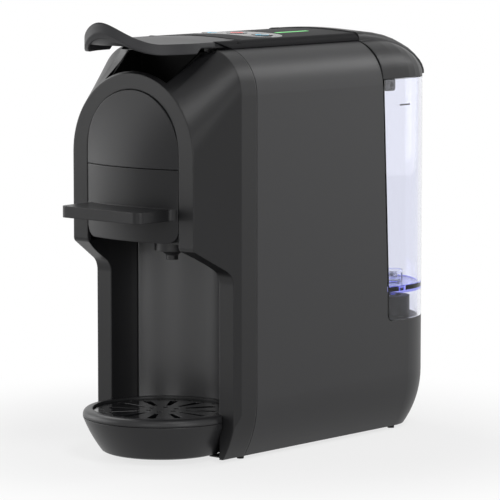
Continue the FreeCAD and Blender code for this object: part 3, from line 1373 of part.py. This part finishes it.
def plumbing():
    """Tubes from the tank to the flow meter, the pump, the heater and the piston's yoke."""
    valve = tank_valve_place
    meter = (dim.meter_x, at(dim.meter_at))
    pump_y, pump_z = at(dim.pump_at), dim.pump_height
    pump_rear = pump_y + dim.pump_coil / 2 + dim.pump_tail
    pump_front = pump_y - dim.pump_coil / 2 - dim.pump_neck
    gap = dim.slide_gap
    heater_top = dim.heater_top + dim.heater_post + gap
    inlet_y, outlet_y = heater_y - heater_radius / 2, heater_y + heater_radius / 2
    hose_level = dim.bay_level - dim.bay_plate - dim.spigot_drop - gap
    run_level = (dim.meter_top + hose_level) / 2
    middle = 0 * half
    pipe("suction_hose", [(*valve, hose_level), (*valve, run_level), (*meter, run_level),
                          (*meter, dim.meter_top + gap)], dim.line_bend)
    meter_rear = meter[1] + dim.meter_radius + gap
    behind = meter_rear + dim.hose_bend + dim.wall
    pipe("pump_hose", [(dim.meter_x, meter_rear, pump_z), (dim.meter_x, behind, pump_z),
                       (middle, behind, pump_z), (middle, pump_rear + gap, pump_z)], dim.hose_bend)
    line_y = at(dim.line_at)
    pipe("pump_line", [(middle, pump_front - gap, pump_z), (middle, line_y, pump_z),
                       (middle, line_y, dim.line_top), (middle, inlet_y, dim.line_top),
                       (middle, inlet_y, heater_top)], dim.line_bend)
    pipe("brew_line", [(middle, outlet_y, heater_top), (middle, outlet_y, dim.brew_line_level),
                       (middle, yoke_rear + gap, dim.brew_line_level)], dim.line_bend)


def cable_gland():
    """Bushed opening in the floor for the mains cord, which the photograph leaves out."""
    body = new_body("cable_gland")
    place = (dim.gland_x, bay_low_y)
    low = dim.foot_height
    pad(body, "XY", low, low + 2 * dim.base_plate,
        ("circle", *place, dim.gland_radius - dim.fit_gap), ("circle", *place, dim.gland_bore))
    pad(body, "XY", low + dim.base_plate, low + 2 * dim.base_plate,
        ("circle", *place, dim.gland_radius + dim.wall), ("circle", *place, dim.gland_bore))


side_panel("side_panel_left", -1)
side_panel("side_panel_right", 1)
base_plate()
feet()
front_shell()
arch_panel()
finger_well()
top_panel()
button_insert()
buttons()
control_board()
lever()
links()
brew_frame()
brew_piston()
capsule_drawer()
capsule_adapter()
outlet_spout()
bay_ceiling()
cup_bay_liner()
drip_tray()
drip_grille()
tank_bay()
water_tank()
tank_valve()
tank_lid()
pump()
heater()
flow_meter()
plumbing()
cable_gland()
base_screws()

doc.recompute()
for item in doc.Objects:
    if "Invalid" in item.State or "Error" in item.State:
        raise ValueError(item.Name + " did not compute: " + str(item.State))
os.makedirs("parts", exist_ok=True)
for piece in PIECES:
    if piece.Shape.isNull() or not piece.Shape.isValid():
        raise ValueError(piece.Label + " has no valid shape")
    piece.Shape.exportStep("parts/" + piece.Label + ".step")
    print(piece.Label, len(piece.Shape.Solids), round(piece.Shape.Volume))
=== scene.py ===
import math

import bmesh
import bpy
import numpy as np
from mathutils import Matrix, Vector


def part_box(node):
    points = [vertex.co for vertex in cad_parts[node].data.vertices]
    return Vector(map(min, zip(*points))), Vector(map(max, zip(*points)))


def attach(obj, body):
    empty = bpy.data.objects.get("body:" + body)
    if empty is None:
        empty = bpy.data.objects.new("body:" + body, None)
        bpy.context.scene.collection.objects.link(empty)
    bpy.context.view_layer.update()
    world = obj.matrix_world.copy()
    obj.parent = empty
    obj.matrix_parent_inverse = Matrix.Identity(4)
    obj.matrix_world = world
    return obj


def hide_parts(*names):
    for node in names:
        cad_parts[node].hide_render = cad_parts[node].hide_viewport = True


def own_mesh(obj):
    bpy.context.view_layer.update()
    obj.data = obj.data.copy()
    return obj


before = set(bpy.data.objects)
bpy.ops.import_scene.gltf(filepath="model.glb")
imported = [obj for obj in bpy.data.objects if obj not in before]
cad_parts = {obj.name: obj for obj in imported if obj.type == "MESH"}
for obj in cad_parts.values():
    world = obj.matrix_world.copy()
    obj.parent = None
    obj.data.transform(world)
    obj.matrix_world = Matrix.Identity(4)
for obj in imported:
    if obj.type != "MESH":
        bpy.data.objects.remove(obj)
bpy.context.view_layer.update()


# Viewpoint
# The machine is seen from its front right corner, a little above the middle, through a
# long lens. The camera looks at a point near the middle of the housing.
bearing, climb = math.radians(41.23), math.radians(6.784)
backward = Vector((math.sin(bearing) * math.cos(climb), -math.cos(bearing) * math.cos(climb),
                   math.sin(climb)))
rightward = Vector((math.cos(bearing), math.sin(bearing), 0.0))
upward = backward.cross(rightward)
housing_middle = Vector((0.0, -0.003, 0.130))
aim_right, aim_down, camera_distance = 0.005637, 0.008171, 2.126736
aim = housing_middle + rightward * aim_right - upward * aim_down
focal_mm, sensor_mm = 242.08, 36.0
nearest, farthest = 0.05, 20.0
lens = bpy.data.cameras.new("viewpoint")
lens.lens, lens.sensor_width = focal_mm, sensor_mm
lens.clip_start, lens.clip_end = nearest, farthest
viewpoint = bpy.data.objects.new("viewpoint", lens)
viewpoint.location = aim + backward * camera_distance
viewpoint.rotation_euler = backward.to_track_quat("Z", "Y").to_euler()
bpy.context.collection.objects.link(viewpoint)
bpy.context.scene.camera = viewpoint


# Housing sides and base
# Two moulded side shells and a floor plate, in dark grey plastic with a fine spark
# texture. The shells meet at the rear and the floor closes them from below. Four small
# feet and the cord's gland are rubber.
class Wire:
    """A shader socket that adds a Math node for each sum, product or comparison that it takes
    part in. The sign | stands for the larger of two."""

    def __init__(self, finish, socket):
        self.finish, self.socket = finish, socket

    def maths(self, operation, first, second):
        return self.finish.node("ShaderNodeMath", {"operation": operation},
                                {0: first, 1: second})

    def __add__(self, other):
        return self.maths("ADD", self, other)

    __radd__ = __add__

    def __mul__(self, other):
        return self.maths("MULTIPLY", self, other)

    __rmul__ = __mul__

    def __gt__(self, other):
        return self.maths("GREATER_THAN", self, other)

    def __lt__(self, other):
        return self.maths("LESS_THAN", self, other)

    def __or__(self, other):
        return self.maths("MAXIMUM", self, other)

    __ror__ = __or__


class Finish:
    """The nodes of a new material, or of an owner that is there already."""

    def __init__(self, name, owner=None):
        self.material = owner or bpy.data.materials.new(name)
        self.material.use_nodes = True
        self.tree = self.material.node_tree
        self.tree.nodes.clear()

    def node(self, kind, settings, sockets, output=0):
        """Add one node: its settings come first, then the values or links of its sockets."""
        made = self.tree.nodes.new(kind)
        for name, setting in settings.items():
            setattr(made, name, setting)
        for name, source in sockets.items():
            if isinstance(source, Wire):
                self.tree.links.new(source.socket, made.inputs[name])
            else:
                made.inputs[name].default_value = source
        return Wire(self, made.outputs[output]) if made.outputs else made

    def place(self):
        """Place on the piece in Object coordinates, which are the frame's metres."""
        return self.node("ShaderNodeTexCoord", {}, {}, "Object")

    def noise(self, scale):
        """Smooth noise from 0 to 1, with this many cells in a metre."""
        return self.node("ShaderNodeTexNoise", {},
                         {"Vector": self.place(), "Scale": scale, "Detail": 2.0}, "Fac")

    def mix(self, share, first, second):
        """Blend of two colours by a share from 0 to 1."""
        return self.node("ShaderNodeMix", {"data_type": "RGBA"},
                         {0: share, 6: (*first, 1.0), 7: (*second, 1.0)}, 2)

    def bump(self, height, depth, edge):
        """Relief of a height pattern over a shading normal that rounds the edges."""
        rounded = self.node("ShaderNodeBevel", {"samples": 6}, {"Radius": edge})
        return self.node("ShaderNodeBump", {},
                         {"Height": height, "Distance": depth, "Normal": rounded})

    def shade(self, sockets):
        """Close the material with a Principled shader that has these sockets."""
        surface = self.node("ShaderNodeBsdfPrincipled", {}, sockets)
        self.node("ShaderNodeOutputMaterial", {}, {"Surface": surface})
        return self.material


# A drift of tone has 9 cells in a metre and the spark grain 2,600.
drift_scale, spark_scale, gloss_drift = 9.0, 2600.0, 0.06
lighter_share, darker_share = 1.1, 0.92


def moulded(name, colour, roughness, edge=0.0006, grain=0.00002, shine=0.3):
    """Moulded plastic: spark grain, slow drifts of tone and gloss, and softened edges."""
    finish = Finish(name)
    drift = finish.noise(drift_scale)
    spark = finish.noise(spark_scale)
    lighter = tuple(min(1.0, part * lighter_share) for part in colour)
    darker = tuple(part * darker_share for part in colour)
    return finish.shade({"Base Color": finish.mix(drift, darker, lighter),
                         "Roughness": drift * gloss_drift + (roughness - gloss_drift / 2),
                         "Specular IOR Level": shine,
                         "Normal": finish.bump(spark, grain, edge)})


def dress(material, *nodes):
    """Give the CAD pieces of these names one material."""
    for node in nodes:
        piece = bpy.data.objects[node]
        piece.data.materials.clear()
        piece.data.materials.append(material)


shell_grey = (0.018, 0.018, 0.0192)
dress(moulded("shell_plastic", shell_grey, 0.42), "side_panel_left", "side_panel_right",
      "base_plate")
rubber = moulded("rubber", (0.01, 0.01, 0.01), 0.7)
dress(rubber, "foot_front_left", "foot_front_right", "foot_rear_left", "foot_rear_right",
      "cable_gland")


# Arched front
# One moulding of dark grey plastic carries the arched face, the flare behind it and
# the two legs. A bowed panel closes the arch above the drawer.
front_plastic = moulded("front_plastic", (0.0095, 0.0095, 0.0102), 0.37, 0.0012, shine=0.24)
dress(front_plastic, "front_shell")
dress(moulded("panel_plastic", (0.015, 0.015, 0.016), 0.37, 0.0008, shine=0.2), "arch_panel")


# Finger well
# A moulded liner under the lever, where the fingers reach in. It is pressed into the
# gap between the arch and the top cover. Its near-black colour is painted shade: it
# stands for the shadow that fills the well.
dress(moulded("well_painted_shade", (0.0025, 0.0025, 0.0025), 0.55, shine=0.06), "finger_well")


# Cup bay
# A curved wall and a ceiling plate, both moulded, close the bay between the legs. The
# nozzle's neck goes up through the ceiling, and its round plate lies under it.
# The curved wall's grey is lighter than the other mouldings'. Part of that is painted light: it
# stands for the bright light that the wall reflects.
dress(moulded("bay_plastic_painted_light", (0.038, 0.038, 0.04), 0.3, 0.0008, shine=0.6), "cup_bay_liner")
dress(moulded("outlet_plastic", (0.02, 0.02, 0.021), 0.3, 0.0006), "bay_ceiling", "outlet_spout")


# Drip tray
# A deep moulded tub with a rim ring snapped on, and a glossy black grille that lifts out.
# The whole tray slides out to the front for emptying.
dress(moulded("tray_plastic", (0.0155, 0.0155, 0.0165), 0.37, 0.0012), "drip_tray", "tray_ring")
dress(moulded("grille_plastic", (0.008, 0.008, 0.009), 0.16, 0.0005, 0.000006, 0.4), "drip_grille")


# Capsule drawer
# The drawer's bowed front and its pull shelf are one moulding. The adapter cup hangs in
# its deck and carries the steel piercing plate.
dress(moulded("drawer_plastic", (0.0105, 0.0105, 0.0113), 0.37, 0.0009, shine=0.22), "capsule_drawer")
dress(moulded("adapter_plastic", (0.012, 0.012, 0.012), 0.4), "capsule_adapter")
cloud_scale, cloud_gloss = 60.0, 0.1
draw_scale, draw_depth, metal_edge = 1500.0, 0.00001, 0.0003


def metal(name, colour, roughness):
    """Bare metal with a fine drawn grain."""
    finish = Finish(name)
    drift = finish.noise(cloud_scale)
    return finish.shade({"Base Color": (*colour, 1.0), "Metallic": 1.0,
                         "Roughness": drift * cloud_gloss + roughness,
                         "Normal": finish.bump(finish.noise(draw_scale), draw_depth, metal_edge)})


steel = metal("steel", (0.6, 0.6, 0.62), 0.3)
dress(steel, "piercing_plate")


# Lever
# The lever is a curled paddle with a rolled rim, moulded in one piece with the crank that
# works the brew links below it. It turns on a blackened steel shaft.
dress(moulded("lever_plastic", (0.036, 0.036, 0.038), 0.42, 0.0014, shine=0.16), "lever")
dress(moulded("blackened_steel", (0.008, 0.008, 0.008), 0.55, shine=0.08), "lever_shaft")
dress(metal("link_steel", (0.22, 0.22, 0.23), 0.42), "link_left", "link_right", "piston_yoke")


# Brew group
# A frame of glass-filled plastic guides the piston that presses the capsule. A rubber ring
# at the piston's foot seals it.
dress(moulded("frame_plastic", (0.012, 0.012, 0.012), 0.5), "brew_frame", "brew_piston")
dress(rubber, "piston_seal")


# Control panel
# The crowned top cover carries a glossy insert with three push buttons. A satin line
# frames the insert, a lit symbol shows on each button, and a green strip shows that the
# machine is ready.
dress(moulded("cover_plastic", (0.014, 0.014, 0.015), 0.5, 0.0009, shine=0.03), "top_panel")
dress(moulded("insert_plastic", (0.01, 0.01, 0.011), 0.17, 0.0004, 0.000004, 0.15), "button_insert",
      "button_power", "button_short_cup", "button_long_cup")
dress(moulded("board", (0.02, 0.08, 0.03), 0.5), "control_board")
arch_face = -0.103
crown_top, crown_fall, crown_reach = 0.2593, 0.0016, 0.033


def crown(x):
    """Height of the crowned cover at a place beside its middle: a flat parabola."""
    return crown_top - crown_fall * (x / crown_reach) ** 2


def placed(name, points, faces, material, body):
    """Closed mesh from points and faces, turned outwards, that rides on a body."""
    mesh = bpy.data.meshes.new(name)
    mesh.from_pydata(points.reshape(-1, 3).tolist(), [], faces)
    shape = bmesh.new()
    shape.from_mesh(mesh)
    bmesh.ops.recalc_face_normals(shape, faces=shape.faces)
    shape.to_mesh(mesh)
    shape.free()
    mesh.materials.append(material)
    piece = bpy.data.objects.new(name, mesh)
    bpy.context.collection.objects.link(piece)
    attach(piece, body)
    return piece


def carried(name, points, body, material, closed=False):
    """Skin over a grid of points, whose rows are one section at each place of a path. The
    path's ends are capped, unless it closes on itself."""
    index = np.arange(points.shape[0] * points.shape[1]).reshape(points.shape[:2])
    index = np.hstack([index, index[:, :1]])
    ends = []
    if closed:
        index = np.vstack([index, index[:1]])
    else:
        ends = [index[0, :-1].tolist(), index[-1, :-1].tolist()]
    quads = np.stack([index[:-1, :-1], index[:-1, 1:], index[1:, 1:], index[1:, :-1]], -1)
    return placed(name, points, quads.reshape(-1, 4).tolist() + ends, material, body)


def line_on(name, path_x, path_y, level, width, thick, body, material, closed=False):
    """Low strip along a path on a surface: its section is a flat box with softened upper
    edges, carried along the path and lifted by the surface's height."""
    dx, dy = np.gradient(path_x), np.gradient(path_y)
    if closed:
        dx, dy = (np.roll(line, -1) - np.roll(line, 1) for line in (path_x, path_y))
    length = np.hypot(dx, dy)[:, None]
    across = np.array([-0.5, -0.42, 0.42, 0.5, 0.5, -0.5]) * width
    lift = np.array([0.5, 1.0, 1.0, 0.5, -1.0, -1.0]) * thick
    x = path_x[:, None] - dy[:, None] / length * across
    y = path_y[:, None] + dx[:, None] / length * across
    points = np.stack([x, y, level(x, y) + lift], -1)
    return carried(name, points, body, material, closed)


def on_crown(x, y):
    """Height of the cover at places on it: the crown is the same all along its depth."""
    return crown(x)


def lit(name, colour, strength):
    """A light guide that glows with its own colour."""
    finish = Finish(name)
    return finish.shade({"Base Color": (*colour, 1.0), "Roughness": 0.3,
                         "Emission Color": (*colour, 1.0), "Emission Strength": strength})


insert_setback, trim_half, trim_depth, trim_bend = 0.096, 0.0290, 0.0115, 0.0112
trim_y, trim_width, trim_thick = arch_face + insert_setback, 0.0007, 0.00012
turn_steps, ring_steps, bar_steps, strip_steps = 96, 40, 8, 24
turn = np.linspace(0.0, 2 * math.pi, turn_steps, endpoint=False)
corner_x = np.sign(np.cos(turn)) * (trim_half - trim_bend)
corner_y = np.sign(np.sin(turn)) * (trim_depth - trim_bend)
line_on("insert_trim", corner_x + trim_bend * np.cos(turn),
        trim_y + corner_y + trim_bend * np.sin(turn), on_crown, trim_width, trim_thick,
        "housing", metal("satin_trim", (0.3, 0.3, 0.31), 0.3), closed=True)

red = lit("red_light", (0.9, 0.05, 0.04), 0.5)
blue = lit("blue_light", (0.05, 0.5, 0.75), 0.6)
green = lit("green_light", (0.06, 0.6, 0.1), 0.5)
button_lift, button_pitch = 0.0002, 0.021
mark_width, mark_thick = 0.0009, 0.00008
power_radius, power_gap, bar_front, bar_back = 0.0036, 0.55, 0.0012, 0.0042
small_radius, large_radius, cup_gap = 0.0026, 0.0038, 0.9
strip_x, strip_start, strip_end = 0.0145, 0.1165, 0.147
strip_width, strip_thick = 0.003, 0.00012


def on_button(x, y):
    """Height of a button's flat top: the crown at the mark's middle, and a small lift."""
    return crown(np.full_like(x, x.mean())) + button_lift


def symbol(name, x, depth, body, material, radius, gap):
    """Open ring on a button, with a gap at its back: a path on a circle."""
    sweep = np.linspace(math.pi / 2 + gap, 5 * math.pi / 2 - gap, ring_steps)
    line_on(name, x + radius * np.cos(sweep), depth + radius * np.sin(sweep), on_button,
            mark_width, mark_thick, body, material)


symbol("power_symbol", 0.0, trim_y, "power_button", red, power_radius, power_gap)
bar_path = np.linspace(trim_y + bar_front, trim_y + bar_back, bar_steps)
line_on("power_bar", np.zeros(bar_steps), bar_path, on_button, mark_width, mark_thick,
        "power_button", red)
symbol("small_cup_symbol", -button_pitch, trim_y, "short_cup_button", blue, small_radius, cup_gap)
symbol("large_cup_symbol", button_pitch, trim_y, "long_cup_button", blue, large_radius, cup_gap)
strip_path = np.linspace(arch_face + strip_start, arch_face + strip_end, strip_steps)
line_on("ready_strip", np.full(strip_steps, strip_x), strip_path, on_crown, strip_width,
        strip_thick, "housing", green)


# Water tank
# A clear moulded tank with one level line stands on a black dock. Its valve is a clear
# insert on the raised floor, and a small steel spring holds the valve's plunger shut.
tank_floor_low, tank_floor_high = 0.0905, 0.0955
tank = Finish("tank_clear")
height = tank.node("ShaderNodeSeparateXYZ", {}, {"Vector": tank.place()}, "Z")
in_floor = (height > tank_floor_low) * (height < tank_floor_high)
dress(tank.shade({"Base Color": tank.mix(in_floor, (0.85, 0.86, 0.93), (0.35, 0.36, 0.9)),
                  "Roughness": 0.02, "Transmission Weight": 1.0, "IOR": 1.3}), "water_tank")
valve = Finish("valve_clear")
dress(valve.shade({"Base Color": (0.9, 0.92, 1.0, 1.0), "Roughness": 0.05,
                   "Transmission Weight": 1.0, "IOR": 1.12}), "valve_cage", "valve_plunger",
      "valve_seal")
dress(moulded("bay_black", (0.004, 0.004, 0.004), 0.45, shine=0.12), "tank_bay", "tank_dock")
ink = Finish("tick_ink")
tick_ink = ink.shade({"Base Color": (0.12, 0.12, 0.14, 1.0), "Roughness": 0.5})
tank_side, ink_depth, tick_half = 0.059, 0.00006, 0.0005
tick_level, tick_front, tick_back = 0.2118, 0.0832, 0.0935


def tick(name, level, start, end):
    """Short printed line on the tank's flat side: a thin flat box."""
    high, low = level + tick_half, level - tick_half
    y = np.array([[start, end, end, start]] * 2)
    x = np.array([[tank_side - ink_depth] * 4, [tank_side + ink_depth] * 4])
    z = np.array([[low, low, high, high]] * 2)
    points = np.stack([x, y, z], -1).reshape(-1, 3)
    sides = [[k, (k + 1) % 4, (k + 1) % 4 + 4, k + 4] for k in range(4)]
    placed(name, points, [[3, 2, 1, 0], [4, 5, 6, 7]] + sides, tick_ink, "tank")


tick("level_tick", tick_level, tick_front, tick_back)
spring_low, spring_high = (np.array(corner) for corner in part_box("valve_spring"))
valve_travel, spring_wire, spring_turns = 0.003, 0.0003, 4
wire_steps, steps_a_turn = 12, 36


def coil(name, low, high, wire, turns, body, material):
    """Round wire wound to fill a box: a circle across the path, which goes round the box's
    middle and climbs at a steady rate."""
    sweep = np.linspace(0.0, 2 * math.pi * turns, steps_a_turn * turns)[:, None]
    across = np.linspace(0.0, 2 * math.pi, wire_steps, endpoint=False)
    middle, reach = (low + high) / 2, (high[0] - low[0]) / 2 - wire + wire * np.cos(across)
    climb_z = low[2] + wire + (high[2] - low[2] - 2 * wire) * sweep / sweep.max()
    points = np.stack([middle[0] + reach * np.cos(sweep), middle[1] + reach * np.sin(sweep),
                       climb_z + wire * np.sin(across)], -1)
    return carried(name, points, body, material)


valve_coil = coil("valve_coil", spring_low, spring_high, spring_wire, spring_turns, "tank", steel)
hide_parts("valve_spring")
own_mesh(valve_coil)


# Tank lid
# A hollow crowned lid, moulded in dark grey plastic. Two black catches, snapped into its
# edge, hook the tank.
dress(moulded("lid_plastic", (0.016, 0.016, 0.017), 0.38, 0.0011, shine=0.16), "tank_lid")
dress(moulded("catch_plastic", (0.01, 0.01, 0.01), 0.35, 0.0006), "lid_catch_left",
      "lid_catch_right")


# Works inside the housing
# The heater stands on a bent steel chassis, which is screwed to the floor plate from
# below. The pump lies in two rubber mounts, and the flow meter stands on the floor plate.
dress(steel, "inner_chassis", "base_screws")
dress(rubber, "pump_mount_front", "pump_mount_rear")
dress(moulded("works_plastic", (0.012, 0.012, 0.012), 0.5), "thermostat", "flow_meter",
      "pump_coil")
dress(metal("brass", (0.7, 0.5, 0.25), 0.3), "pump_tube")
dress(metal("aluminium", (0.7, 0.7, 0.72), 0.4), "heater_block")
dress(moulded("hose", (0.7, 0.7, 0.68), 0.4), "suction_hose", "pump_hose", "pump_line", "brew_line")


# Studio
# A pale floor and white air stand round the machine, and seven soft lamps light it. The eye,
# a gloss and the clear tank all show the same white.
def background_rays(finish):
    """1 for a ray that shows the background: seen, mirrored, or passed through the tank."""
    seen, mirrored, through = (finish.node("ShaderNodeLightPath", {}, {}, kind) for kind in (
        "Is Camera Ray", "Is Glossy Ray", "Is Transmission Ray"))
    return seen | mirrored | through


floor_mesh = bpy.data.meshes.new("studio_floor")
floor_half = 6.0
fade_near, fade_far, fade_share = 0.13, 0.3, 0.74
floor_mesh.from_pydata([(-floor_half, -floor_half, 0), (floor_half, -floor_half, 0),
                        (floor_half, floor_half, 0), (-floor_half, floor_half, 0)],
                       [], [(0, 1, 2, 3)])
floor = bpy.data.objects.new("studio_floor", floor_mesh)
bpy.context.collection.objects.link(floor)
pale = Finish("studio_floor")
matt = pale.node("ShaderNodeBsdfPrincipled", {}, {"Base Color": (0.82, 0.82, 0.82, 1.0),
                                                  "Roughness": 0.9})
white = pale.node("ShaderNodeEmission", {}, {"Strength": 1.0})
spot = pale.node("ShaderNodeVectorMath", {"operation": "LENGTH"}, {0: pale.place()}, "Value")
far = pale.node("ShaderNodeMapRange", {"interpolation_type": "SMOOTHSTEP"},
                {"Value": spot, "From Min": fade_near, "From Max": fade_far,
                 "To Min": fade_share, "To Max": 1.0})
blend = pale.node("ShaderNodeMixShader", {}, {0: background_rays(pale) * far, 1: matt, 2: white})
pale.node("ShaderNodeOutputMaterial", {}, {"Surface": blend})
floor_mesh.materials.append(pale.material)

world = bpy.data.worlds.new("studio_air")
bpy.context.scene.world = world
air = Finish("studio_air", world)
air_light, air_white = 0.14, 1.0
strength = background_rays(air) * (air_white - air_light) + air_light
glow = air.node("ShaderNodeBackground", {}, {"Strength": strength,
                                             "Color": (1.0, 1.0, 1.0, 1.0)})
air.node("ShaderNodeOutputWorld", {}, {"Surface": glow})


lamp_aim = Vector((0.0, 0.0, 0.13))


def softbox(name, azimuth, distance, height, width, tall, power):
    """Rectangular lamp that stands at an azimuth from the front and faces the machine. The
    azimuth is in degrees, the sizes and places in metres, the power in watts."""
    lamp = bpy.data.lights.new(name, "AREA")
    lamp.shape, lamp.size, lamp.size_y, lamp.energy = "RECTANGLE", width, tall, power
    holder = bpy.data.objects.new(name, lamp)
    side = math.radians(azimuth)
    holder.location = (math.sin(side) * distance, -math.cos(side) * distance, height)
    facing = holder.location - lamp_aim
    holder.rotation_euler = facing.to_track_quat("Z", "Y").to_euler()
    bpy.context.collection.objects.link(holder)


softbox("left_softbox", -62, 1.7, 0.35, 1.7, 1.4, 21)
softbox("front_softbox", 25, 1.9, 0.5, 0.8, 0.8, 5)
softbox("side_softbox", 72, 1.8, 0.35, 0.7, 0.6, 8)
softbox("flare_softbox", 65, 1.2, 1.5, 0.5, 0.5, 8)
softbox("right_softbox", 145, 1.8, 0.3, 1.2, 0.9, 4)
softbox("rear_softbox", 156, 1.3, 0.95, 0.5, 0.4, 4.5)
softbox("lever_softbox", -103, 1.1, 1.35, 0.6, 0.6, 5)
bpy.context.scene.view_settings.view_transform = "Standard"
